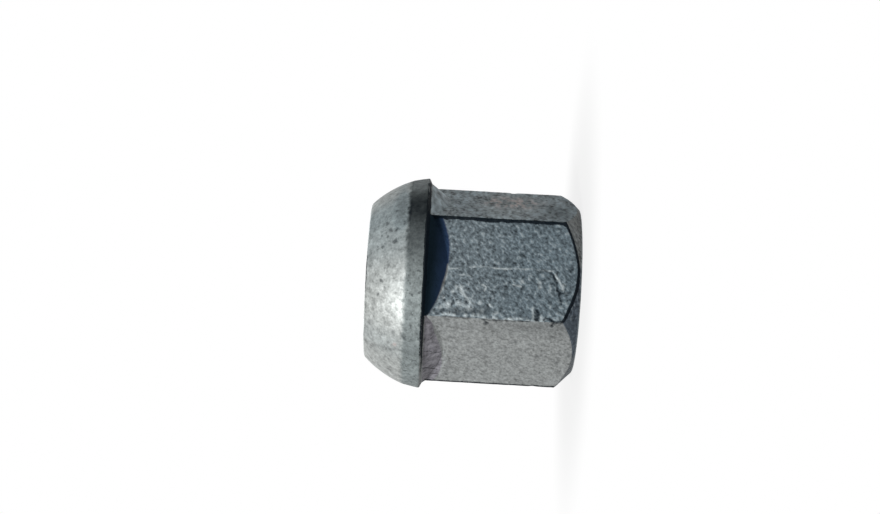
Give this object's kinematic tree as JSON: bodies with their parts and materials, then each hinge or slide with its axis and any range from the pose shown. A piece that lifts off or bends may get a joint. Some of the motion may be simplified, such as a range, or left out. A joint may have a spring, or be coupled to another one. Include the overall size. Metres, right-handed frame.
{
  "type": "lug nut",
  "caption": "Open hex wheel nut with a flared round collar and a ball seat, threaded right through for a wheel stud, in dull weathered zinc-coated steel.",
  "frame": {"origin": "centre of the hex end face, on which the nut stands", "axes": "+Z along the thread axis, from the hex end up to the ball seat; +X through a corner of the hexagon, so a flat faces -Y"},
  "size_m": [0.0234, 0.0234, 0.023],
  "materials": {
    "zinc_steel": "dull zinc coating on forged steel, mottled and dirty on the hexagon, worn brighter on the ball seat"
  },
  "bodies": {
    "root": {"lug_nut": "zinc_steel"}
  },
  "joints": []
}
